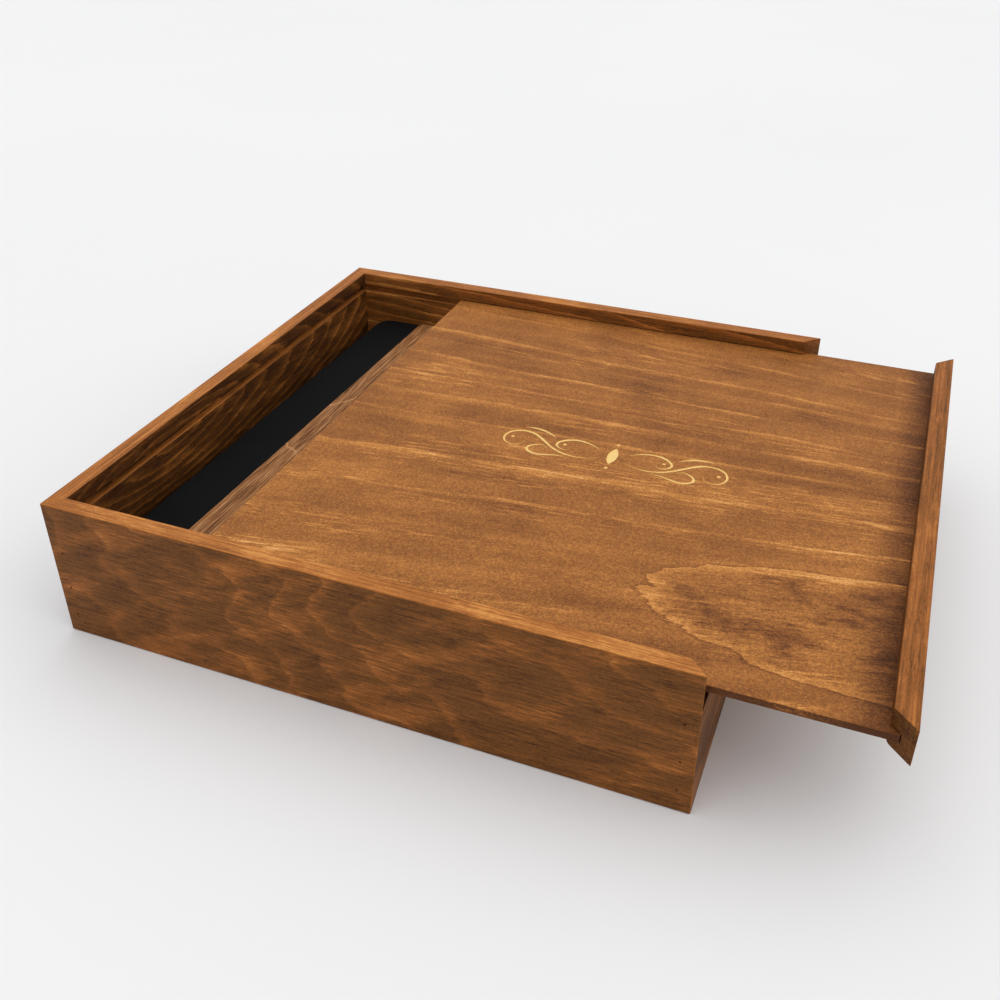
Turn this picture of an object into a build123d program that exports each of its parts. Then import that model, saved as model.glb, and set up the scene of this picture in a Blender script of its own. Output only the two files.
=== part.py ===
from build123d import *
import os
from math import pi, sin

# A square keepsake box of mitred boards with a sliding plywood lid, shown partly
# open over the album that it holds.  X runs the way the lid slides out, Y to the
# back, Z up.  The origin is the middle of the underside of the box.

# ---------------------------------------------------------------- the box itself
box_side = 350.0
box_height = 84.0
wall = 9.6
corner_radius = 0.9         # the four upright corners, sanded after gluing
arris = 0.6                 # the long edges of the boards, eased by hand

# The groove that the lid runs in, cut into the inner faces of three sides
lip_height = 9.2            # wood left above the groove
groove_height = 4.8
groove_depth = 4.3
groove_arris = 0.4

# The base sheet, let in flush from below
base_thickness = 4.0
rabbet_depth = 4.8
base_gap = 0.1

# ---------------------------------------------------------------- the sliding lid
lid_thickness = 4.0
lid_open = 84.0             # how far the lid stands open
lid_side_gap = 0.5          # from the sheet's edge to the bottom of its groove
lid_lift = 0.3              # running clearance under the sheet
lid_edge_radius = 0.5
rail_height = 19.4
rail_width = 10.4
rail_groove_depth = 4.8
rail_seat_gap = 0.5
rail_glue_gap = 0.3         # above the sheet, in the rail's groove
rail_mitre_gap = 0.25
rail_toe = 1.4              # bevel under the rail's inner edge
saw_gap = 0.4               # between the rail and the side that it was cut from

# The engraved scrollwork in the middle of the lid
engraving_depth = 0.35
engraving_back = -6.0
stroke_width = 1.7
stroke_swell = 0.8          # below 1 the stroke swells soon after its pointed end
stroke_stations = 22
bud_half_length = 9.0
bud_half_width = 3.0
dot_radius = 1.1
dot_places = [(0, 13), (0, -13), (61, 0.5), (29.5, 2.5)]

# Its right-hand half about the middle: the points of one smooth line for each stroke
scroll_strokes = [
    [(5, -2), (17, -8), (31, -6), (43, 3), (54, 9), (64, 5), (65, -4), (58, -8), (53, -4), (56, 0)],
    [(8, 3), (18, 9), (29, 8), (34, 1), (29, -3), (25, 1)],
    [(36, 7), (43, 12), (51, 14), (58, 13)],
    [(37, -7), (46, -4), (49, -9), (44, -13), (36, -12), (22, -13)],
]

# ---------------------------------------------------------------- brads
brad_radius = 0.6
brad_hole_radius = 0.68
brad_sink = 0.9
brad_length = 18.0
corner_brad_inset = 7.2
corner_brad_heights = (13.0, 31.0, 54.0)
base_brad_length = 14.0
base_brad_stations = (-126.0, -42.0, 42.0, 126.0)

# ---------------------------------------------------------------- the album inside
album_side = 312.0
album_top = 52.5
album_centre = (5.0, 2.0)
album_turn = -0.7           # degrees: it lies a little askew in the box
album_corner_radius = 11.0
album_edge_radius = 2.4
plate_thickness = 1.8       # wooden face of each cover
wrap_thickness = 1.2        # black leather over the spine
wrap_reach = 32.5           # how far the leather comes over each cover
board_thickness = 3.0
endpaper_thickness = 0.5
spine_board_thickness = 3.0
spine_slack = 1.3           # from the spine board to the bound edge of the leaves
page_margin = 3.5           # covers stand this far beyond the leaves
plate_arris = 0.4

# ---------------------------------------------------------------- worked-out places
half_side = box_side / 2
inner_face = half_side - wall
groove_bottom = box_height - lip_height - groove_height
lower_side_height = box_height - rail_height - saw_gap
brad_line = half_side - corner_brad_inset
base_side = 2 * (inner_face + rabbet_depth - base_gap)
base_brad_line = inner_face + rabbet_depth / 2
base_brad_points = []
for station in base_brad_stations:
    base_brad_points += [(station, -base_brad_line), (station, base_brad_line)]
    base_brad_points += [(-base_brad_line, station), (base_brad_line, station)]

os.makedirs("parts", exist_ok=True)


def nearest(sketch, u, v):
    """The sketch's corner nearest to a point of its plane."""
    return sketch.vertices().sort_by_distance((u, v, 0))[0]


def mitred_board(height, grooved, nailed_through):
    """One side of the box, along X at the front, mitred at both ends."""
    with BuildPart() as board:
        with BuildSketch(Plane.YZ) as section:
            with Locations((wall / 2 - half_side, height / 2)):
                Rectangle(wall, height)
            with Locations((rabbet_depth / -2 - inner_face, base_thickness / 2)):
                Rectangle(rabbet_depth, base_thickness, mode=Mode.SUBTRACT)
            if grooved:
                with Locations((groove_depth / -2 - inner_face, groove_bottom + groove_height / 2)):
                    Rectangle(groove_depth, groove_height, mode=Mode.SUBTRACT)
                lip_corners = [
                    nearest(section, -inner_face, groove_bottom),
                    nearest(section, -inner_face, groove_bottom + groove_height),
                ]
                fillet(lip_corners, groove_arris)
            long_corners = [
                nearest(section, -half_side, height),
                nearest(section, -inner_face, height),
                nearest(section, -half_side, 0),
            ]
            fillet(long_corners, arris)
        extrude(amount=half_side, both=True)
        with BuildSketch():
            RectangleRounded(box_side, box_side, corner_radius)
        extrude(amount=height, mode=Mode.INTERSECT)
        for end in (-1, 1):
            mitre = Plane(origin=(end * half_side, -half_side, 0), z_dir=(end, 1, 0))
            split(bisect_by=mitre, keep=Keep.BOTTOM)
        if nailed_through:
            with BuildSketch(Plane.XZ.offset(half_side)):
                for across in (-brad_line, brad_line):
                    with Locations(*[(across, up) for up in corner_brad_heights]):
                        Circle(brad_hole_radius)
            extrude(amount=-brad_length - brad_sink, mode=Mode.SUBTRACT)
        else:
            for end in (-1, 1):
                with BuildSketch(Plane.YZ.offset(end * half_side)):
                    with Locations(*[(-brad_line, up) for up in corner_brad_heights]):
                        Circle(brad_hole_radius)
                extrude(amount=-end * (brad_length + brad_sink), mode=Mode.SUBTRACT)
        with BuildSketch():
            with Locations(*[(station, -base_brad_line) for station in base_brad_stations]):
                Circle(brad_hole_radius)
        extrude(amount=base_brad_length + brad_sink, mode=Mode.SUBTRACT)
    return board.part


# ---------------------------------------------------------------- sides of the box
with BuildPart() as front_wall:
    add(mitred_board(box_height, grooved=True, nailed_through=True))
front_wall.part.label = "front_wall"
export_step(front_wall.part, "parts/front_wall.step")

with BuildPart() as rear_wall:
    add(mitred_board(box_height, grooved=True, nailed_through=True), rotation=(0, 0, 180))
rear_wall.part.label = "rear_wall"
export_step(rear_wall.part, "parts/rear_wall.step")

with BuildPart() as left_wall:
    add(mitred_board(box_height, grooved=True, nailed_through=False), rotation=(0, 0, -90))
left_wall.part.label = "left_wall"
export_step(left_wall.part, "parts/left_wall.step")

# The side that the lid passes over is lower by the height of the lid's rail.
with BuildPart() as right_wall:
    add(mitred_board(lower_side_height, grooved=False, nailed_through=False), rotation=(0, 0, 90))
right_wall.part.label = "right_wall"
export_step(right_wall.part, "parts/right_wall.step")

# ---------------------------------------------------------------- base sheet
with BuildPart() as base_panel:
    with BuildSketch():
        Rectangle(base_side, base_side)
    extrude(amount=base_thickness)
    with BuildSketch():
        with Locations(*base_brad_points):
            Circle(brad_hole_radius)
    extrude(amount=base_thickness, mode=Mode.SUBTRACT)
base_panel.part.label = "base_panel"
export_step(base_panel.part, "parts/base_panel.step")

# ---------------------------------------------------------------- brads
# Three in each mitre, driven from the front and back faces and set below them.
with BuildPart() as corner_brads:
    with BuildSketch(Plane.XZ.offset(half_side - brad_sink)):
        for across in (-brad_line, brad_line):
            with Locations(*[(across, up) for up in corner_brad_heights]):
                Circle(brad_radius)
    extrude(amount=-brad_length)
    mirror(about=Plane.XZ)
corner_brads.part.label = "corner_brads"
export_step(corner_brads.part, "parts/corner_brads.step")

# Four along each edge of the base, driven up into the sides.
with BuildPart() as base_brads:
    with BuildSketch(Plane.XY.offset(brad_sink)):
        with Locations(*base_brad_points):
            Circle(brad_radius)
    extrude(amount=base_brad_length)
base_brads.part.label = "base_brads"
export_step(base_brads.part, "parts/base_brads.step")

# ---------------------------------------------------------------- lid sheet
sheet_edge = inner_face + groove_depth - lid_side_gap
sheet_left = lid_open - sheet_edge
sheet_right = lid_open + half_side - rail_width + rail_groove_depth - rail_seat_gap
sheet_middle = (sheet_left + sheet_right) / 2
sheet_bottom = groove_bottom + lid_lift
sheet_top = sheet_bottom + lid_thickness


def pen_stroke(points, width):
    """A stroke that swells to its full width and back to a point."""
    centre_line = Edge.make_spline([Vector(*point) for point in points])
    upper = []
    lower = []
    for step in range(1, stroke_stations):
        along = step / stroke_stations
        aside = (centre_line % along).rotate(Axis.Z, 90) * (width / 2 * sin(pi * along) ** stroke_swell)
        upper.append(centre_line @ along + aside)
        lower.append(centre_line @ along - aside)
    lower.reverse()
    with BuildSketch() as stroke:
        with BuildLine():
            Spline(centre_line @ 0, *upper, centre_line @ 1)
            Spline(centre_line @ 1, *lower, centre_line @ 0)
        make_face()
    return stroke.sketch


with BuildPart() as lid_panel:
    with BuildSketch(Plane.XY.offset(sheet_bottom)):
        with Locations((sheet_middle, 0)):
            Rectangle(sheet_right - sheet_left, 2 * sheet_edge)
    extrude(amount=lid_thickness)
    sheet_ends = lid_panel.edges().filter_by(Axis.Y)
    sheet_sides = lid_panel.edges().filter_by(Axis.X)
    fillet(sheet_sides + sheet_ends.sort_by(Axis.X)[:2], lid_edge_radius)
    with BuildSketch(Plane((sheet_middle, engraving_back, sheet_top))):
        for stroke in scroll_strokes:
            add(pen_stroke(stroke, stroke_width))
        with Locations(*dot_places):
            Circle(dot_radius)
        mirror(about=Plane.YZ)
        with BuildLine():
            ThreePointArc((0, bud_half_length), (bud_half_width, 0), (0, -bud_half_length))
            ThreePointArc((0, -bud_half_length), (-bud_half_width, 0), (0, bud_half_length))
        make_face()
    extrude(amount=-engraving_depth, mode=Mode.SUBTRACT)
lid_panel.part.label = "lid_panel"
export_step(lid_panel.part, "parts/lid_panel.step")

# ---------------------------------------------------------------- lid rail
# The top strip of the right-hand side: it is glued over the sheet's end, closes
# the gap above the low side, and is what the hand pulls.
rail_outer = lid_open + half_side
rail_inner = rail_outer - rail_width
rail_bottom = box_height - rail_height
rail_half_length = half_side - rail_mitre_gap
rail_groove_middle = sheet_bottom + (lid_thickness + rail_glue_gap) / 2
with BuildPart() as lid_rail:
    with BuildSketch(Plane.XZ) as rail_section:
        with Locations((rail_outer - rail_width / 2, box_height - rail_height / 2)):
            Rectangle(rail_width, rail_height)
        with Locations((rail_inner + rail_groove_depth / 2, rail_groove_middle)):
            Rectangle(rail_groove_depth, lid_thickness + rail_glue_gap, mode=Mode.SUBTRACT)
        rail_top_corners = [
            nearest(rail_section, rail_inner, box_height),
            nearest(rail_section, rail_outer, box_height),
        ]
        fillet(rail_top_corners, arris)
        fillet(nearest(rail_section, rail_inner, rail_bottom), rail_toe)
        fillet(nearest(rail_section, rail_outer, rail_bottom), groove_arris)
    extrude(amount=rail_half_length, both=True)
    with BuildSketch():
        with Locations((lid_open, 0)):
            RectangleRounded(box_side, 2 * rail_half_length, corner_radius)
    extrude(amount=box_height, mode=Mode.INTERSECT)
    for end in (-1, 1):
        rail_mitre = Plane(origin=(rail_outer, end * rail_half_length, 0), z_dir=(1, -end, 0))
        split(bisect_by=rail_mitre, keep=Keep.TOP)
lid_rail.part.label = "lid_rail"
export_step(lid_rail.part, "parts/lid_rail.step")

# ---------------------------------------------------------------- album
album_place = Location((*album_centre, 0), (0, 0, album_turn))
album_half = album_side / 2
spine_outer = -album_half
plate_left = spine_outer + wrap_reach
inside_side = album_side - 2 * wrap_thickness
inside_radius = album_corner_radius - wrap_thickness
front_board_bottom = album_top - plate_thickness - board_thickness
back_board_bottom = base_thickness + plate_thickness
pages_bottom = back_board_bottom + board_thickness + endpaper_thickness
pages_top = front_board_bottom - endpaper_thickness
wrap_bottom = back_board_bottom - wrap_thickness
wrap_height = front_board_bottom + board_thickness + wrap_thickness - wrap_bottom
pages_left = spine_outer + wrap_thickness + spine_board_thickness + spine_slack
pages_right = album_half - page_margin
pages_half_width = album_half - page_margin


def album_plane(height):
    """The level plane of the album at a height above the ground."""
    return album_place * Plane.XY.offset(height)


def cover_board(bottom):
    """A stiff board with rounded corners, as large as the cover inside its leather."""
    with BuildPart() as board:
        with BuildSketch(album_plane(bottom)):
            RectangleRounded(inside_side, inside_side, inside_radius)
        extrude(amount=board_thickness)
    return board.part


def cover_plate(bottom, outer_face):
    """The wooden face of a cover, from the edge of the leather to the fore edge."""
    with BuildPart() as plate:
        with BuildSketch(album_plane(bottom)):
            RectangleRounded(album_side, album_side, album_corner_radius)
            with Locations((plate_left - album_half, 0)):
                Rectangle(album_side, album_side, mode=Mode.SUBTRACT)
        extrude(amount=plate_thickness)
        rim = plate.faces().sort_by(Axis.Z)[outer_face].edges()
        fillet(rim, plate_arris)
    return plate.part


def endpaper(bottom):
    """The sheet pasted between a cover and the leaves."""
    with BuildPart() as sheet:
        with BuildSketch(album_plane(bottom)):
            with Locations(((pages_left + pages_right) / 2, 0)):
                Rectangle(pages_right - pages_left, 2 * pages_half_width)
        extrude(amount=endpaper_thickness)
    return sheet.part


with BuildPart() as album_spine_wrap:
    with BuildSketch(album_plane(wrap_bottom)):
        RectangleRounded(album_side, album_side, album_corner_radius)
    extrude(amount=wrap_height)
    rims = album_spine_wrap.faces().filter_by(Axis.Z).edges()
    fillet(rims, album_edge_radius)
    with BuildSketch(album_plane(wrap_bottom)):
        with Locations((spine_outer + wrap_reach / 2, 0)):
            Rectangle(wrap_reach, album_side)
    extrude(amount=wrap_height, mode=Mode.INTERSECT)
    with BuildSketch(album_plane(back_board_bottom)):
        RectangleRounded(inside_side, inside_side, inside_radius)
    extrude(amount=wrap_height - 2 * wrap_thickness, mode=Mode.SUBTRACT)
    with BuildSketch(album_plane(back_board_bottom)):
        with Locations((spine_outer + album_corner_radius + album_half, 0)):
            Rectangle(album_side, album_side)
    extrude(amount=wrap_height - 2 * wrap_thickness, mode=Mode.SUBTRACT)
album_spine_wrap.part.label = "album_spine_wrap"
export_step(album_spine_wrap.part, "parts/album_spine_wrap.step")

with BuildPart() as album_spine_board:
    with BuildSketch(album_plane(back_board_bottom + board_thickness)):
        with Locations((spine_outer + wrap_thickness + spine_board_thickness / 2, 0)):
            Rectangle(spine_board_thickness, album_side - 2 * album_corner_radius)
    extrude(amount=front_board_bottom - back_board_bottom - board_thickness)
album_spine_board.part.label = "album_spine_board"
export_step(album_spine_board.part, "parts/album_spine_board.step")

with BuildPart() as album_front_board:
    add(cover_board(front_board_bottom))
album_front_board.part.label = "album_front_board"
export_step(album_front_board.part, "parts/album_front_board.step")

with BuildPart() as album_back_board:
    add(cover_board(back_board_bottom))
album_back_board.part.label = "album_back_board"
export_step(album_back_board.part, "parts/album_back_board.step")

with BuildPart() as album_front_plate:
    add(cover_plate(album_top - plate_thickness, outer_face=-1))
album_front_plate.part.label = "album_front_plate"
export_step(album_front_plate.part, "parts/album_front_plate.step")

with BuildPart() as album_back_plate:
    add(cover_plate(base_thickness, outer_face=0))
album_back_plate.part.label = "album_back_plate"
export_step(album_back_plate.part, "parts/album_back_plate.step")

with BuildPart() as album_front_endpaper:
    add(endpaper(pages_top))
album_front_endpaper.part.label = "album_front_endpaper"
export_step(album_front_endpaper.part, "parts/album_front_endpaper.step")

with BuildPart() as album_back_endpaper:
    add(endpaper(pages_bottom - endpaper_thickness))
album_back_endpaper.part.label = "album_back_endpaper"
export_step(album_back_endpaper.part, "parts/album_back_endpaper.step")

with BuildPart() as album_page_block:
    with BuildSketch(album_plane(pages_bottom)):
        with Locations(((pages_left + pages_right) / 2, 0)):
            Rectangle(pages_right - pages_left, 2 * pages_half_width)
    extrude(amount=pages_top - pages_bottom)
album_page_block.part.label = "album_page_block"
export_step(album_page_block.part, "parts/album_page_block.step")
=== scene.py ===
# %% [markdown]
# # A keepsake box with a sliding lid
#
# The real box is four stained boards, mitred at the corners, round a thin base.
# A sheet of plywood slides in a groove as its lid, and the top of the right-hand
# side is sawn off and glued to the lid's end as a rail to pull it by.  A square
# album with a black spine lies inside.
#
# The boards could be modelled again here, but the packed model already holds each
# one at its true size.  So this lesson keeps them, and is mostly about finishes:
# how wood, leather and paper are described so that they hold up from close by.

# %% Load the box
import math
import random

import bpy
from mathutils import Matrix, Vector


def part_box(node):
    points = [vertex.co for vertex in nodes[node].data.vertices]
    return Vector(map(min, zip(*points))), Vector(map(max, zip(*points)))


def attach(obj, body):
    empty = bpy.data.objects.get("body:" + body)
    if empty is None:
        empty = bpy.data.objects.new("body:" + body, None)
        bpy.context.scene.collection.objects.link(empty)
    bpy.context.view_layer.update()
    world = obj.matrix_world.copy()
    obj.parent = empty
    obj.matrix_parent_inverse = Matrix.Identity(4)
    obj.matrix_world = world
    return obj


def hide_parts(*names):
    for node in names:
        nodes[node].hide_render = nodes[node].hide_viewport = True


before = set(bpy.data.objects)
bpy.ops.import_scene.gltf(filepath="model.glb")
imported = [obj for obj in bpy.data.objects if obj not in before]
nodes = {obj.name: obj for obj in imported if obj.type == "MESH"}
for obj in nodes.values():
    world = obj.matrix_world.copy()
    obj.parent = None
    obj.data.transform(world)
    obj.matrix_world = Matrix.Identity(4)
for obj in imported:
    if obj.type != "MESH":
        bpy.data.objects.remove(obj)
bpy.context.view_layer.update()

print("pieces of the packed model:", ", ".join(sorted(nodes)))

# %% [markdown]
# ## Sizes that the rest is worked out from
#
# They could be typed in again, but they are read from the packed boards, so that a
# change of size there moves the finishes too.  The lid's sheet, the outside of the
# box and the block of leaves are what the later steps have to know about.

# %% Measure the box
MM = 0.001
sheet_low, sheet_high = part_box("lid_panel")
_, front_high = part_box("front_wall")
left_low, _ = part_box("left_wall")
leaves_low, leaves_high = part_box("album_page_block")
box_half = -left_low.x      # the front board's rounded mitres end short of the corners
box_top = front_high.z
print(f"box {2 * box_half / MM:.0f} mm square and {box_top / MM:.0f} mm high")
print(f"lid sheet from x {sheet_low.x / MM:.1f} to {sheet_high.x / MM:.1f} mm")

# %% [markdown]
# ## The camera
#
# The box is seen from its front right, from a little above, close enough for its
# sides to converge.  A camera can be aimed with a constraint, or by its three
# turns.  The turns are plainer here: tilt up from straight down, a trace of roll,
# and the heading.  The small shift lowers the box in the frame without tilting it.

# %% Place the camera
CAMERA_PLACE = (0.2204, -0.5180, 0.3995)
CAMERA_TURNS = (58.92, 0.15, 21.68)
CAMERA_LENS = 39.0
CAMERA_SHIFT = (-0.002, -0.0556)
FAR_CLIP = 30.0

camera_data = bpy.data.cameras.new("camera")
camera = bpy.data.objects.new("camera", camera_data)
bpy.context.scene.collection.objects.link(camera)
camera.location = CAMERA_PLACE
camera.rotation_euler = [math.radians(turn) for turn in CAMERA_TURNS]
camera_data.lens = CAMERA_LENS
camera_data.shift_x, camera_data.shift_y = CAMERA_SHIFT
camera_data.clip_end = FAR_CLIP
bpy.context.scene.camera = camera
print("camera is", round(camera.location.length, 3), "m from the middle of the box")

# %% [markdown]
# ## The floor
#
# The box stands on a pale sweep.  A plane that is much wider than the view does
# for it, and lies a hair below the box, so that the two never share a surface.

# %% Lay the floor
FLOOR_SIDE = 24.0
FLOOR_DROP = 0.2 * MM

bpy.ops.object.select_all(action="DESELECT")
bpy.ops.mesh.primitive_plane_add(size=FLOOR_SIDE, location=(0, 0, -FLOOR_DROP))
floor = bpy.context.active_object
floor.name = "floor"
print("floor", FLOOR_SIDE, "m a side")

# %% [markdown]
# ## The light
#
# In a studio, large soft boxes keep the shadows without a hard edge and the floor
# nearly white.  Area lights fall off with distance and leave the far floor grey.  A
# sun with a very wide disc lights the floor evenly and still gives the soft shadow.
# The key stands nearly overhead, and a lower one at the side brightens the floor
# under the open lid.  The sky fills the rest.

# %% Hang the lights
WARM_WHITE = (1.0, 0.985, 0.965)
SKY_COLOUR = (0.90, 0.91, 0.93, 1)
SKY_STRENGTH = 0.80


def wide_sun(name, tilt, heading, strength, spread):
    """A sun that shines down, tilted from overhead towards a heading, in degrees."""
    data = bpy.data.lights.new(name, "SUN")
    data.energy = strength
    data.angle = math.radians(spread)
    data.color = WARM_WHITE
    sun = bpy.data.objects.new(name, data)
    sun.rotation_euler = (math.radians(tilt), 0, math.radians(heading))
    bpy.context.scene.collection.objects.link(sun)
    print(name, "sun tilted", tilt, "degrees")


wide_sun("key", tilt=15, heading=120, strength=0.95, spread=80)
wide_sun("side", tilt=62, heading=96, strength=0.48, spread=50)
sky = bpy.data.worlds.new("studio")
bpy.context.scene.world = sky
sky.use_nodes = True
sky.node_tree.nodes["Background"].inputs["Color"].default_value = SKY_COLOUR
sky.node_tree.nodes["Background"].inputs["Strength"].default_value = SKY_STRENGTH
bpy.context.scene.view_settings.view_transform = "Standard"

# %% [markdown]
# ## Colours as a screen shows them
#
# Stain is judged by eye, against a sample card or on a screen.  Shaders count light
# instead, in which a middle brown is far darker than half.  So each colour is
# written as the eye sees it, and turned into light in one place.

# %% Turn a screen colour into light
SCREEN_WHITE = 255
TOE_END = 0.04045           # the screen's curve is straight up to here, and bent beyond
TOE_SLOPE = 12.92
CURVE_LIFT = 0.055
CURVE_POWER = 2.4


def hue(red, green, blue):
    """A colour given as it looks on a screen, from 0 to 255, as the linear colour."""
    linear = []
    for part in (red, green, blue):
        share = part / SCREEN_WHITE
        if share <= TOE_END:
            linear.append(share / TOE_SLOPE)
        else:
            linear.append(((share + CURVE_LIFT) / (1 + CURVE_LIFT)) ** CURVE_POWER)
    return (*linear, 1.0)


print("a middle stain in linear light:", [round(part, 3) for part in hue(149, 88, 37)])

# %% [markdown]
# ## Writing a finish as sums
#
# A finish is a tree of shader nodes.  It could be wired by hand, one link at a
# time, but then the thought behind it is lost.  Here a `Wire` wraps a socket and
# can be added and multiplied like a number, and each sum adds the Math node that
# it needs.

# %% A wire that can be added and multiplied
class Wire:
    """A socket of a finish that takes part in sums."""

    def __init__(self, finish, socket):
        self.finish = finish
        self.socket = socket

    def maths(self, operation, *values):
        return self.finish.node("Math", {"operation": operation}, dict(enumerate(values)))

    def __add__(self, other):
        return self.maths("ADD", self, other)

    def __radd__(self, other):
        return self.maths("ADD", other, self)

    def __sub__(self, other):
        return self.maths("SUBTRACT", self, other)

    def __rsub__(self, other):
        return self.maths("SUBTRACT", other, self)

    def __mul__(self, other):
        return self.maths("MULTIPLY", self, other)

    def __rmul__(self, other):
        return self.maths("MULTIPLY", other, self)

    def __truediv__(self, other):
        return self.maths("DIVIDE", self, other)

    def __rtruediv__(self, other):
        return self.maths("DIVIDE", other, self)

    def __pow__(self, other):
        return self.maths("POWER", self, other)

    def __rpow__(self, other):
        return self.maths("POWER", other, self)

    def __abs__(self):
        return self.maths("ABSOLUTE", self)

    def fract(self):
        return self.maths("FRACT", self)

    def least(self, other):
        return self.maths("MINIMUM", self, other)

    def most(self, other):
        return self.maths("MAXIMUM", self, other)

    def between(self, low, high):
        """0 below low, 1 above high, and smooth between them; high may be the lower."""
        sockets = {"Value": self, "From Min": low, "From Max": high}
        return self.finish.node("MapRange", {"interpolation_type": "SMOOTHSTEP"}, sockets)


print("a wire has", sum(callable(part) for part in vars(Wire).values()), "methods")

# %% [markdown]
# ## A finish that grows node by node
#
# Every node but the Math ones comes from `Finish.node`, which takes the node's
# type, its settings, and the values or links of its sockets.  The other methods
# name what a wood finish asks for again and again: where a point is, which way the
# surface looks, and noise of a given size.  Places are in millimetres throughout.

# %% A finish
FACING = (0.55, 0.8)        # how squarely a surface looks a way, from not at all to fully


class Finish:
    """A material whose nodes are added as its sums are written."""

    def __init__(self, name, seed):
        self.seed = seed
        self.material = bpy.data.materials.new(name)
        self.material.use_nodes = True
        self.tree = self.material.node_tree
        self.tree.nodes.clear()

    def node(self, kind, settings=None, sockets=None, output=0):
        node = self.tree.nodes.new("ShaderNode" + kind)
        for name, value in (settings or {}).items():
            if name == "stops":
                for place, colour in value[len(node.color_ramp.elements):]:
                    node.color_ramp.elements.new(place)
                for element, (place, colour) in zip(node.color_ramp.elements, value):
                    element.position = place
                    element.color = colour
            else:
                setattr(node, name, value)
        for name, value in (sockets or {}).items():
            if isinstance(value, Wire):
                self.tree.links.new(value.socket, node.inputs[name])
            else:
                node.inputs[name].default_value = value
        return Wire(self, node.outputs[output]) if node.outputs else node

    def place(self, turn=0.0):
        """Where a point of the piece is, in millimetres, turned about Z by degrees."""
        sockets = {
            "Vector": self.node("TexCoord", output=3),
            "Rotation": (0, 0, math.radians(turn)),
            "Scale": (1 / MM,) * 3,
        }
        return self.node("Mapping", {}, sockets)

    def tilted(self, vector, degrees):
        """The same places, seen with the grain dipping by degrees as it runs along."""
        sockets = {"Vector": vector, "Rotation": (0, math.radians(degrees), 0)}
        return self.node("Mapping", {}, sockets)

    def faces(self, *direction):
        """1 where the surface looks in a direction, and 0 where it looks elsewhere."""
        normal = self.node("NewGeometry", output=1)
        sockets = {0: normal, 1: direction}
        squarely = self.node("VectorMath", {"operation": "DOT_PRODUCT"}, sockets, 1)
        return squarely.between(*FACING)

    def parts(self, vector):
        split = self.node("SeparateXYZ", {}, {0: vector})
        outputs = split.socket.node.outputs
        return [Wire(self, outputs[axis]) for axis in range(3)]

    def joined(self, along, across, up):
        return self.node("CombineXYZ", {}, {0: along, 1: across, 2: up})

    def noise(self, vector, size, detail=2.0, roughness=0.5):
        """Noise about 0, within 0.5, in patches of a size: along, across, up.

        The seed is a fourth direction, so that no two boards share a pattern.
        """
        inverse = [1 / length for length in size]
        sockets = {
            "Vector": self.node("VectorMath", {"operation": "MULTIPLY"}, {0: vector, 1: inverse}),
            "W": self.seed + sum(size),
            "Scale": 1.0,
            "Detail": detail,
            "Roughness": roughness,
        }
        return self.node("TexNoise", {"noise_dimensions": "4D"}, sockets) - 0.5

    def mix(self, share, first, second):
        return self.node("Mix", {"data_type": "RGBA"}, {0: share, 6: first, 7: second}, output=2)

    def ramp(self, value, *stops):
        return self.node("ValToRGB", {"stops": stops}, {0: value})

    def surface(self, colour, roughness, height=None, depth=0.0, **constants):
        """Ends the tree in a Principled shader; depth is the bump's, in millimetres."""
        sockets = {"Base Color": colour, "Roughness": roughness}
        if height is not None:
            bump = {"Height": height, "Distance": depth * MM, "Strength": 1.0}
            sockets["Normal"] = self.node("Bump", {}, bump)
        for name, value in constants.items():
            sockets[name.replace("_", " ").title().replace("Ior", "IOR")] = value
        shader = self.node("BsdfPrincipled", {}, sockets)
        self.node("OutputMaterial", {}, {"Surface": shader})
        return self.material


print("a facing runs from", FACING[0], "to", FACING[1])

# %% [markdown]
# ## Plain stuffs, and the floor's finish
#
# Painted board, paper and wire are never one flat tone: each has a faint mottle
# and a soft sheen.  One helper makes them all, as noise that drifts between two
# tones and, where the grain can be felt, lifts the surface a little too.

# %% A mottled stuff, and the floor painted with it
def mottled(name, seed, grain, detail, dark, light, roughness, depth=0.0, **constants):
    """A plain stuff whose colour drifts between two tones in patches of its grain."""
    stuff = Finish(name, seed)
    fleck = stuff.noise(stuff.place(), (grain,) * 3, detail)
    tint = stuff.ramp(fleck + 0.5, (0.3, dark), (0.7, light))
    return stuff.surface(tint, roughness, fleck if depth else None, depth, **constants)


def dress(material, *names):
    """Gives packed pieces a material, in every slot that their faces use."""
    for name in names:
        slots = nodes[name].material_slots
        if not slots:
            nodes[name].data.materials.append(material)
        for slot in slots:
            slot.material = material
    print(material.name, "on", ", ".join(names))


pale_paint = mottled("pale_floor", 0, 600, 3, (0.83, 0.83, 0.83, 1), (0.85, 0.85, 0.85, 1), 0.75,
                     specular_ior_level=0.2)
floor.data.materials.append(pale_paint)
print(pale_paint.name, "on the floor")

# %% [markdown]
# ## Growth rings
#
# A picture of wood wrapped on each face would break at the arrises.  A solid
# pattern doesn't, because each board is cut out of one block of growth rings, just
# as the real ones are cut from a log.
#
# The rings are distances from a heart that leans through the block, shaken by slow
# noise so that they wander.  Where the heart runs nearly level with a face, the
# rings open into arches there.

# %% Rings round a heart
HEART_LEAN = 0.3


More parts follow.
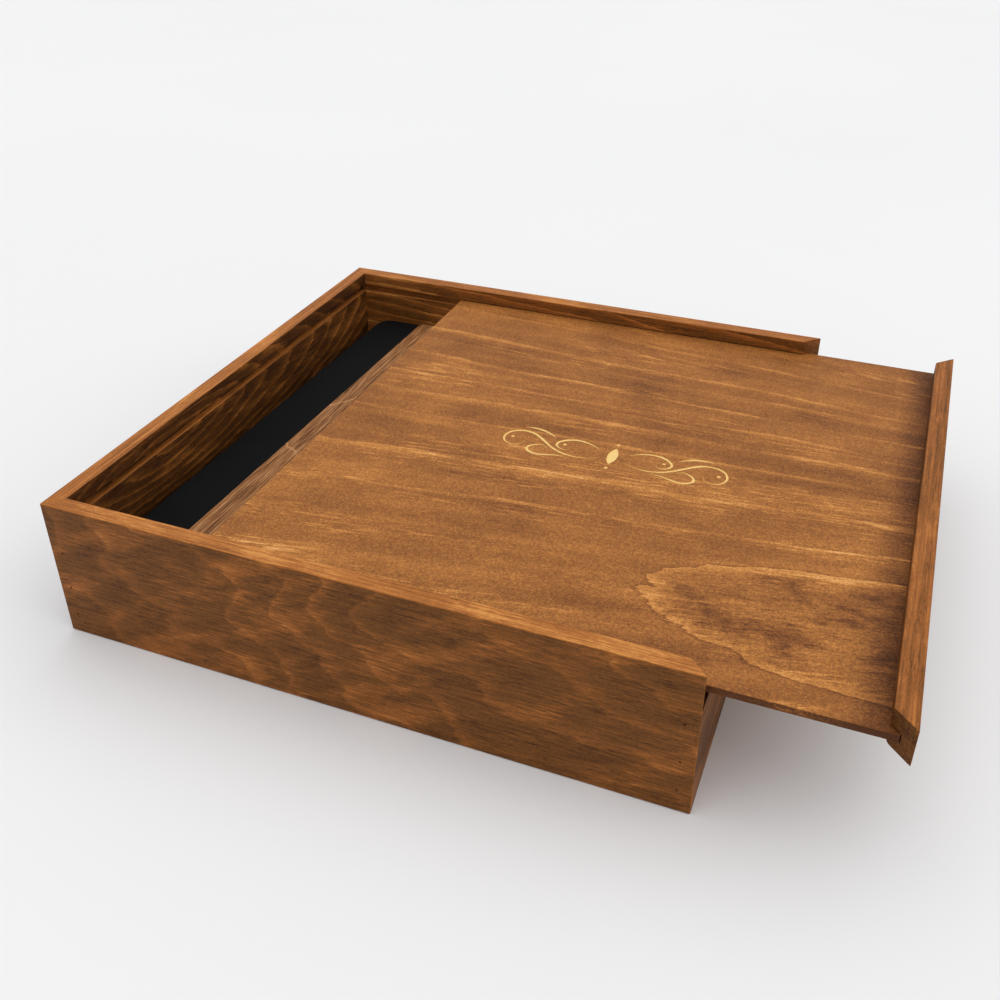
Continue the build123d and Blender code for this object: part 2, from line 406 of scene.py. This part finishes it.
def growth_rings(wood, block, leaning, teeth, heart, stretch, spacing, sway, fray):
    """How far through its ring a place is, from 0 to 1.

    The rings are spacing apart round the heart, a place along and up the board, and
    stretched along the grain.  sway is how far they wander, and fray how ragged
    their edges are.
    """
    along, across, up = wood.parts(block)
    wander = wood.noise(leaning, (110, 30, 34), detail=1)
    ripple = wood.noise(block, (34, 8, 8), detail=1)
    ahead = (along - heart[0]) / stretch
    above = up - heart[1] + across * HEART_LEAN
    away = (ahead * ahead + above * above) ** 0.5
    return ((away + wander * sway + ripple * spacing * 0.35 + teeth * fray) / spacing).fract()


print("the heart leans", HEART_LEAN, "mm for each mm across a board")

# %% [markdown]
# ## How light each face is
#
# Stain takes differently on each face of a board, and the levels hold painted light
# and shade as well.  Most tops are lighter, partly as they were sanded smooth and
# partly as painted light from above; the low right board's top is painted dark, as the
# lid's shadow, and some inner faces are darker, as painted shade inside the box.  Sawn
# ends drink the most stain.  On the arrises a painted highlight stands for the light
# that a rounded edge catches, with the stain rubbed thin by the cloth.  Each kind of
# face could have a material of its own, but the faces share one mesh.  The way that a
# face looks tells them apart, and the arrises are simply the places within a fraction
# of a millimetre of the box's outside.

# %% Levels of the stain, with painted light and shade
ARRIS_LIGHT_FROM = 0.7           # the painted highlight and thinned stain start here, in from the box's outside
ARRIS_LIGHT_FULLY = 0.2


def face_levels(wood, inward, stain_and_light_levels):
    """How light each kind of face is, as stain with painted light and shade, and where inner and
    top faces are.
    """
    outer, inner, top, end = stain_and_light_levels
    inner_face = wood.faces(*inward)
    top_face = wood.faces(0, 0, 1)
    side_face = inner_face.most(wood.faces(*[-step for step in inward]))
    end_face = 1 - side_face.most(top_face)
    # The level is stain with painted light and shade: lighter tops, and darker faces in shade.
    level = outer + inner_face * (inner - outer)
    level = level + top_face * (top - outer) + end_face * (end - outer)
    return level, inner_face, top_face


# A painted highlight where a rounded arris would catch the light, with the stain rubbed thin
# there.
def arris_highlight_and_wear(along, up):
    """1 along the box's upright corners and upper rim, and 0 elsewhere."""
    half = box_half / MM
    rim_height = box_top / MM
    corners = abs(along).between(half - ARRIS_LIGHT_FROM, half - ARRIS_LIGHT_FULLY)
    return corners.most(up.between(rim_height - ARRIS_LIGHT_FROM, rim_height - ARRIS_LIGHT_FULLY))


print("arrises are rubbed over", ARRIS_LIGHT_FROM, "mm")

# %% [markdown]
# ## Pores
#
# Up close, the boards are crossed by short dark dashes, where pores soaked up the
# stain, and by short pale ones, where the fibre stood proud and was sanded off.  One
# noise serves for both: its crests are the dark dashes, and its troughs the pale.

# %% Dashes along the grain
def pores(wood, block, leaning, patches):
    """Dark dashes that gather in places, and pale ones, most of them on the patches."""
    gathered = wood.noise(leaning, (26, 11, 11), detail=2)
    dash = wood.noise(block, (6.0, 0.55, 0.55), detail=2)
    dark = dash.between(0.06, 0.20) * gathered.between(-0.06, 0.08)
    pale = dash.between(-0.05, -0.15) * (0.25 + patches * 0.75)
    return dark, pale


print("pores are dashes, dark and pale")

# %% [markdown]
# ## Stained boards
#
# Stain soaks into pale wood unevenly: early wood drinks more than late wood, and
# the surface turns blotchy.  The face's level, the rings, blotches, fibres, pores
# and a fine speckle all add up to one tone, and a ramp turns that tone into stain.
# Adding tones keeps every colour within the one stain, which mixing colours
# wouldn't.

# %% A board cut from a log
STAIN = (
    (0.00, hue(38, 17, 4)),
    (0.20, hue(76, 42, 13)),
    (0.40, hue(114, 69, 26)),
    (0.60, hue(149, 88, 37)),
    (0.80, hue(178, 110, 50)),
    (1.00, hue(208, 140, 70)),
)


def stained_board(name, seed, turn, inward, stain_and_light_levels, figure, dip, fray, **rings):
    """Solid wood whose grain runs along X, or along Y when it is turned by 90 degrees.

    inward is the way the board's inner face looks, and the levels are how light the
    outer face, the inner face, the top edge and the sawn ends are: the stain, with
    painted light on the tops and painted shade where a face lies in shade.  figure is
    how strongly the rings show outside and inside, dip is how far the blotches lean,
    and fray is how ragged they are.  The rest describes the growth rings.
    """
    wood = Finish(name, seed)
    block = wood.place(turn)
    along, across, up = wood.parts(block)
    leaning = wood.tilted(block, dip)
    teeth = wood.noise(block, (10, 0.7, 0.7), detail=3)
    ring = growth_rings(wood, block, leaning, teeth, fray=fray, **rings)

    clouds = wood.noise(leaning, (60, 30, 20), detail=4, roughness=0.55)
    flames = wood.noise(leaning, (70, 30, 18), detail=3)
    patches = (flames + teeth * 0.04 * fray).between(-0.02, 0.14)
    fibre = wood.noise(block, (16, 0.7, 0.7), detail=3)
    bands = wood.noise(block, (60, 1.1, 1.1), detail=3)
    speckle = wood.noise(block, (1.4, 1.0, 1.0), detail=3, roughness=0.7)
    dark_dash, pale_dash = pores(wood, block, leaning, patches)

    level, inner_face, top_face = face_levels(wood, inward, stain_and_light_levels)
    shown = (figure[0] + inner_face * (figure[1] - figure[0])) * (1 - top_face * 0.6)
    lines = (ring ** 4) * shown * (0.6 + patches * 0.4)
    tone = level + lines + (patches - 0.3) * 0.14 + clouds * 0.28 + fibre * 0.52 + speckle * 0.40
    # The arrises get a painted highlight, with stain rubbed thin.
    tone = tone + bands * (0.22 + top_face * 0.62) + arris_highlight_and_wear(along, up) * 0.12
    tone = tone - dark_dash * 0.20 + pale_dash * 0.18
    relief = fibre * 0.6 + speckle * 0.3 - dark_dash * 0.8
    colour = wood.ramp(tone, *STAIN)
    return wood.surface(colour, 0.62 - tone * 0.1, relief, 0.09, specular_ior_level=0.15)


print("stain in", len(STAIN), "steps from dark to pale")

# %% [markdown]
# ## Five boards from one helper
#
# The front board shows broad, blurred arches, so its heart lies close behind it and
# its rings are wide.  The left and rear boards show close dark rings on their inner
# faces.  The low right board and the lid's rail are nearly plain.

# %% Stain the boards
dress(stained_board(
    "front_board", seed=0, turn=0, inward=(0, 1, 0), stain_and_light_levels=(0.385, 0.26, 0.62, 0.36),
    figure=(0.24, 0.16), dip=24, fray=9.0, heart=(190, 50), stretch=2.0, spacing=21, sway=70,
), "front_wall")
dress(stained_board(
    "rear_board", seed=20, turn=0, inward=(0, -1, 0), stain_and_light_levels=(0.40, 0.42, 0.60, 0.34),
    figure=(0.12, 0.60), dip=6, fray=2.4, heart=(-260, 40), stretch=6.0, spacing=8, sway=14,
), "rear_wall")
# The left board's inner face is painted dark: painted shade inside the box, over its stain.
dress(stained_board(
    "left_board", seed=40, turn=90, inward=(1, 0, 0), stain_and_light_levels=(0.38, 0.19, 0.60, 0.38),
    figure=(0.12, 0.44), dip=4, fray=2.4, heart=(70, 20), stretch=5.0, spacing=5.0, sway=10,
), "left_wall")
# The right board's top is painted nearly black: the painted shadow of the lid above it.
dress(stained_board(
    "right_board", seed=60, turn=90, inward=(-1, 0, 0), stain_and_light_levels=(0.33, 0.30, 0.08, 0.34),
    figure=(0.12, 0.20), dip=12, fray=3.0, heart=(200, 30), stretch=5.0, spacing=10, sway=20,
), "right_wall")
dress(stained_board(
    "rail_board", seed=80, turn=90, inward=(-1, 0, 0), stain_and_light_levels=(0.34, 0.34, 0.46, 0.16),
    figure=(0.10, 0.10), dip=6, fray=2.4, heart=(-400, 0), stretch=6.0, spacing=12, sway=20,
), "lid_rail")

# %% [markdown]
# ## The lid's pale lines
#
# The lid is plywood, and its face is peeled from the log like a roll of paper.  The
# knife runs nearly level with the growth rings, so they cross the face as a few
# pale, feathered lines that wander along the grain, with wide plain stretches
# between.  Rings, as on the boards, would be too many and too even, so each line is
# placed one by one in a height that rises across the sheet.  Adding noise to the
# height bends the lines, and adding noise drawn out along the grain feathers them.

# %% Lines across a height
GRAIN_LINES = (
    # place across the sheet, how far the line fades forward, how bright it is
    (147, 5, 0.7),
    (110, 6, 0.8),
    (96, 4, 0.4),
    (74, 4, 1.0),
    (50, 5, 0.9),
    (43, 4, 0.5),
    (28, 7, 0.9),
    (2, 4, 0.7),
    (-40, 9, 0.9),
    (-75, 4, 1.0),
)
LINE_EDGE = 0.5


def feathered_lines(height):
    """Pale lines that start sharply at their places and fade towards the front."""
    lines = 0.0
    for place, fade, bright in GRAIN_LINES:
        fading = height.between(place - fade, place)
        edge = height.between(place + LINE_EDGE, place)
        lines = lines + fading * edge * bright
    return lines


print(len(GRAIN_LINES), "pale lines across the lid")

# %% [markdown]
# ## Where flecks gather
#
# Between the lines the veneer is plain, but for short pale flecks.  They lie thick in
# one belt over the right-hand part of the sheet, and thinly in a few loose patches.
# Flecks all over would look like a weave, so a cover says where they may be.

# %% The cover of the flecks
def fleck_cover(ply, grain, height, clouds, along):
    """1 in the belt and in the loose patches, and 0 on the plain stretches."""
    gathered = ply.noise(grain, (120, 18, 18), detail=2).between(0.02, 0.13)
    belt = (height + clouds * 30).between(-64, -46) * (height + clouds * 20).between(-14, -28)
    belt = belt * (along + clouds * 200).between(-60, 0)
    return gathered.most(belt)


print("one belt of flecks across the lid")

# %% [markdown]
# ## The island in the veneer
#
# Near the front right corner the knife came out over the top of a ring and left one
# pale island with a ragged, blunt tip.  It could be drawn as a curve and filled, but
# a sum is enough: a tongue that widens quickly from its tip and then slowly, whose
# outline is shaken by noise.

# %% How far inside the island a place is
ISLAND_TIP = 121.0
ISLAND_BLUNT = 132.0
ISLAND_MIDDLE = -112.0
ISLAND_HALF = 45.0
ISLAND_SPREAD = 42.0


def inside_island(ply, sheet, drift, teeth):
    """Millimetres in from the island's shore, and below 0 outside it."""
    along, across, up = ply.parts(sheet)
    ragged = ply.noise(sheet, (16, 6, 6), detail=3)
    shaken = along + ragged * 22 + teeth * 8
    widening = math.e ** ((shaken - ISLAND_TIP).most(0) * (-1 / ISLAND_SPREAD))
    half = ISLAND_HALF * (1 - widening)
    inside = half - abs(across - ISLAND_MIDDLE + drift * 10) + ragged * 1.5 + teeth * 0.5
    return inside.least((shaken - ISLAND_BLUNT) * 0.5)


print("the island's tip is at x", ISLAND_BLUNT, "mm")

# %% [markdown]
# ## What the island looks like
#
# Inside its thin dark outline the island has a pale shore, then brown pools where
# the stain stood, fine dark scratches along the grain, and streaks that glow.  All
# of them are told from the one measure of how far inside a place is.

# %% The island's tones
def island_tones(ply, sheet, grain, teeth, inside):
    """Where the island is, where its outline is, and how light it is inside."""
    island = inside.between(-0.2, 0.5)
    outline = inside.between(-1.6, -0.2) * (1 - island)
    glow = ply.noise(grain, (26, 3, 3), detail=3).between(0.0, 0.2)
    shore = inside.between(9 + glow * 8, 0.0) * island
    pools = ply.noise(sheet, (30, 15, 15), detail=5, roughness=0.6) + teeth * 0.10
    pools = pools.between(-0.04, 0.16) * (1 - shore)
    scratches = ply.noise(grain, (7, 0.5, 0.5), detail=1).between(0.08, 0.18)
    light = 0.06 + shore * 0.20 + glow * 0.14 - pools * 0.26 - scratches * 0.26
    return island, outline, light


print("the island reaches", ISLAND_HALF, "mm to each side at most")

# %% [markdown]
# ## The engraving
#
# The scrollwork is cut into the sheet and filled with pale gold.  Its faces could be
# given a slot of their own, but the packed sheet is one mesh with one slot.  Depth
# tells them apart just as well: all that lies below the sheet's surface, and away
# from its edges, is engraved.

# %% Where the lid is cut
SKIN = 0.02                 # how far under the surface the cut begins to count
CUT_STEP = 0.05
EDGE_MARGIN = 20.0


def engraved(along, across, up):
    """1 on the faces of the engraving, and 0 on the rest of the lid's sheet."""
    below = sheet_high.z / MM - SKIN
    from_edge = (sheet_high.y / MM - abs(across)).least(along - sheet_low.x / MM)
    cut = up.between(below, below - CUT_STEP) * from_edge.between(EDGE_MARGIN, EDGE_MARGIN + 1)
    return cut * up.between(sheet_low.z / MM + 1, sheet_low.z / MM + 2)


print(f"gold below z {sheet_high.z / MM - SKIN:.2f} mm")

# %% [markdown]
# ## The stained veneer
#
# The grain closes up towards the right, so the lines are laid in a fan: the place
# across the sheet is leaned and squeezed by how far along it is.  Over the lines lie
# short flecks, thick in one belt, then soft bands, clouds and a fine speckle.  Beside
# the rail the sheet is painted darker: partly the rail's shade, painted in, and partly
# stain that the brush couldn't wipe.

# %% Stain the plywood
VENEER = (
    (0.00, hue(80, 44, 18)),
    (0.25, hue(120, 71, 33)),
    (0.50, hue(156, 98, 46)),
    (0.75, hue(195, 129, 63)),
    (1.00, hue(226, 165, 98)),
)
GOLD = (
    (0.3, hue(226, 182, 104)),
    (0.7, hue(250, 218, 146)),
)
FAN_SLOPE = 0.045
FAN_CLOSING = 0.0009
SHADE_FROM = 24.0           # the rail's shade starts this far from the sheet's end
SHADE_FULLY = 7.0


def plywood(name, seed, with_engraving):
    """Rotary-cut veneer on a thin sheet, with pale gold where an engraving is cut."""
    ply = Finish(name, seed)
    sheet = ply.place()
    along, across, up = ply.parts(sheet)
    fan = (across - along * FAN_SLOPE) / (1 - along * FAN_CLOSING)
    grain = ply.joined(along, fan, up)
    teeth = ply.noise(grain, (13, 0.7, 0.7), detail=3)
    clouds = ply.noise(sheet, (46, 30, 30), detail=4, roughness=0.6)
    drift = ply.noise(grain, (110, 26, 26), detail=3)
    height = fan + drift * 15 + teeth * 4.5
    patchy = ply.noise(grain, (55, 12, 12), detail=3).between(-0.10, 0.12)
    lines = feathered_lines(height) * (0.3 + patchy * 0.7)
    flecks = ply.noise(grain, (20, 2.0, 2.0), detail=3).between(-0.02, 0.14)
    scattered = flecks * fleck_cover(ply, grain, height, clouds, along)
    bands = ply.noise(grain, (190, 14, 14), detail=3)
    fibre = ply.noise(grain, (11, 0.7, 0.7), detail=3)
    speckle = ply.noise(sheet, (1.1, 0.9, 0.9), detail=2, roughness=0.7)

    inside = inside_island(ply, sheet, drift, teeth)
    island, outline, inland = island_tones(ply, sheet, grain, teeth, inside)
    mainland = lines * 0.33 + scattered * 0.24 - outline * 0.16
    tone = 0.46 + mainland * (1 - island) + inland * island
    tone = tone + bands * 0.55 + clouds * 0.55 + fibre * 0.18 + speckle
    end = sheet_high.x / MM
    # Painted shade beside the rail, where it shades the sheet, together with stain gathered
    # there.
    painted_rail_shade_and_stain = (along + clouds * 34).between(end - SHADE_FROM, end - SHADE_FULLY)
    flames = (along - 40 + clouds * 120).between(20, -90)
    flames = flames * (across + teeth * 20).between(-140, -158)
    tone = tone - painted_rail_shade_and_stain * 0.27 + flames * (0.10 + flecks * 0.2)
    cut = engraved(along, across, up) if with_engraving else 0.0
    sides = 1 - ply.faces(0, 0, 1).most(ply.faces(0, 0, -1))
    tone = tone - sides * (1 - cut) * 0.4
    colour = ply.mix(cut, ply.ramp(tone, *VENEER), ply.ramp(fibre + 0.5, *GOLD))
    relief = fibre * 0.5 + speckle * 0.5
    return ply.surface(colour, 0.6, relief, 0.05, specular_ior_level=0.15)


dress(plywood("lid_veneer", 100, with_engraving=True), "lid_panel")
dress(plywood("base_veneer", 120, with_engraving=False), "base_panel")

# %% [markdown]
# ## The album's spine
#
# Black leather cloth wraps the spine.  It could be given real pebbles, but they are
# finer than a millimetre, so a shallow bump does, and the same pebbles break up the
# sheen.  The black itself drifts only slightly, over a hand's width.

# %% Wrap the spine
leather = Finish("spine_leather", 140)
hide = leather.place()
pebble = leather.noise(hide, (0.7, 0.7, 0.7), detail=3)
sheen = leather.noise(hide, (40, 40, 40), detail=2)
black = leather.ramp(sheen + 0.5, (0.3, hue(7, 7, 8)), (0.7, hue(11, 11, 12)))
spine_leather = leather.surface(black, 0.75 + pebble * 0.1, pebble, 0.08, specular_ior_level=0.1)
dress(spine_leather, "album_spine_wrap")

# %% [markdown]
# ## The album's wooden covers
#
# A thin wooden face covers the rest of each board.  It is sliced flat, not peeled,
# so it shows short straight streaks along the spine and no arches.  Two pale curls
# cross it near the leather, where a knot was close.  Each curl is a narrow band at
# its own place, leaned and rippled.

# %% Face the covers
COVER_TAN = (
    (0.1, hue(78, 46, 24)),
    (0.5, hue(142, 92, 51)),
    (0.9, hue(190, 137, 90)),
)
CURLS = ((35, 0.7), (-27.5, -1.2))      # each one's place along the spine, and its lean
CURL_MIDDLE = -113
CURL_REACH = ((-126, -120), (-98, -104))

cover = Finish("cover_veneer", 160)
face = cover.place(90)
streak = cover.noise(face, (18, 0.6, 0.6), detail=3, roughness=0.65)
wide_streak = cover.noise(face, (90, 4, 4), detail=3)
ripple = cover.noise(face, (14, 5, 5), detail=2)
along, across, up = cover.parts(face)
curls = 0.0
for start, lean in CURLS:
    offset = along - start - (across - CURL_MIDDLE) * lean + ripple * 7
    curls = curls + offset.between(-1.8, -0.4) * offset.between(1.5, 0.3)
for reach in CURL_REACH:
    curls = curls * across.between(*reach)
tone = 0.52 + streak * 2.8 + wide_streak * 0.8 + curls * 0.36
tan = cover.ramp(tone, *COVER_TAN)
cover_veneer = cover.surface(tan, 0.65, streak, 0.08, specular_ior_level=0.15)
dress(cover_veneer, "album_front_plate", "album_back_plate")

# %% [markdown]
# ## The album's boards and endpapers, and the brads
#
# These show only at an edge or in a small hole, so the mottled stuff does for them:
# dense grey board, black paper, and dull dark wire for the brads.

# %% Finish the small parts
binders_board = mottled("binders_board", 180, 2, 4, hue(58, 52, 46), hue(76, 68, 60), 0.85, 0.1)
dress(binders_board, "album_front_board", "album_back_board", "album_spine_board")
black_paper = mottled("endpaper_black", 200, 0.8, 4, hue(34, 34, 35), hue(42, 42, 43), 0.8, 0.05)
dress(black_paper, "album_front_endpaper", "album_back_endpaper")
brad_wire = mottled("brad_wire", 220, 0.8, 3, hue(36, 30, 26), hue(70, 62, 56), 0.5, 0.03,
                    metallic=0.8)
dress(brad_wire, "corner_brads", "base_brads")

# %% [markdown]
# ## One leaf of the album
#
# The packed model keeps the leaves as one block, which is enough to weigh them.  The
# real ones are two dozen thick leaves, and their edges show in the gap beside the
# album.  One leaf is modelled: a box whose two outer corners are rounded, and whose
# rims are then bevelled, because a cut leaf has a soft edge that catches the light.
# The block lies a little askew in the box, so the leaf's own length and width are
# worked out from the block's outline and its turn.

# %% Cut one leaf
ALBUM_TURN = math.radians(0.7)
LEAF_COUNT = 24
LEAF_GAP = 0.1 * MM
LEAF_CORNER = 3.0 * MM
LEAF_RIM = 0.2 * MM
LEAF_STAGGER = 0.35 * MM
CORNER_STEPS = 4

block_size = leaves_high - leaves_low
cosine = math.cos(ALBUM_TURN)
sine = math.sin(ALBUM_TURN)
leaf_length = (block_size.x * cosine - block_size.y * sine) / math.cos(2 * ALBUM_TURN)
leaf_width = (block_size.y * cosine - block_size.x * sine) / math.cos(2 * ALBUM_TURN)
leaf_pitch = block_size.z / LEAF_COUNT


def bevel_edges(piece, wanted, width, segments):
    """Rounds those edges of a piece whose two ends pass a test, in the piece's own sizes."""
    bpy.ops.object.mode_set(mode="EDIT")
    bpy.ops.mesh.select_mode(type="EDGE")
    bpy.ops.mesh.select_all(action="DESELECT")
    bpy.ops.object.mode_set(mode="OBJECT")
    mesh = piece.data
    for edge in mesh.edges:
        ends = [mesh.vertices[index].co for index in edge.vertices]
        edge.select = wanted(*ends)
    bpy.ops.object.mode_set(mode="EDIT")
    bpy.ops.mesh.bevel(offset=width, segments=segments, affect="EDGES")
    bpy.ops.object.mode_set(mode="OBJECT")


def outer_corner(a, b):
    return min(a.x, b.x) > 0 and abs(a.z - b.z) > LEAF_GAP


def rim(a, b):
    return abs(a.z - b.z) < LEAF_GAP


bpy.ops.object.select_all(action="DESELECT")
bpy.ops.mesh.primitive_cube_add(size=1, scale=(
    leaf_length - LEAF_STAGGER, leaf_width - LEAF_STAGGER, leaf_pitch - LEAF_GAP))
bpy.ops.object.transform_apply(location=False, rotation=False, scale=True)
first_leaf = bpy.context.active_object
bevel_edges(first_leaf, outer_corner, LEAF_CORNER, CORNER_STEPS)
bevel_edges(first_leaf, rim, LEAF_RIM, 1)
print(f"a leaf of {leaf_length / MM:.0f} x {leaf_width / MM:.0f} mm")

# %% [markdown]
# ## The stack of leaves
#
# The leaf is copied up the stack, each copy nudged a little.  An array modifier
# would be quicker, but its copies would line up too well: a bound stack of leaves
# is never quite flush.  The copies are joined into one piece, which takes the
# place of the packed block.

# %% Stack the leaves
STACK_SEED = 4

album_paper = mottled("album_paper", 240, 0.5, 3, hue(226, 221, 210), hue(238, 234, 225), 0.6,
                      0.03)
random.seed(STACK_SEED)
block_middle = (leaves_low + leaves_high) / 2
leaves = []
for number in range(LEAF_COUNT):
    bpy.ops.object.select_all(action="DESELECT")
    first_leaf.select_set(True)
    bpy.context.view_layer.objects.active = first_leaf
    bpy.ops.object.duplicate()
    leaf = bpy.context.active_object
    nudge = [random.uniform(-0.5, 0.5) * LEAF_STAGGER for axis in range(2)]
    height = leaves_low.z + (number + 0.5) * leaf_pitch
    leaf.rotation_euler.z = -ALBUM_TURN
    place = (block_middle.x + nudge[0], block_middle.y + nudge[1], height)
    bpy.ops.transform.translate(value=place)
    leaves.append(leaf)
bpy.data.objects.remove(first_leaf)
bpy.ops.object.select_all(action="DESELECT")
for leaf in leaves:
    leaf.select_set(True)
album_leaves = leaves[0]
bpy.context.view_layer.objects.active = album_leaves
bpy.ops.object.join()
bpy.ops.object.transform_apply(location=True, rotation=True, scale=True)
album_leaves.name = "album_leaves"
album_leaves.data.name = "album_leaves"
album_leaves.data.materials.append(album_paper)
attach(album_leaves, "box")
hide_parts("album_page_block")
print(f"{LEAF_COUNT} leaves, {leaf_pitch / MM:.2f} mm apart")

# %% [markdown]
# ## The box's size
#
# A finish must not change how big the box is.
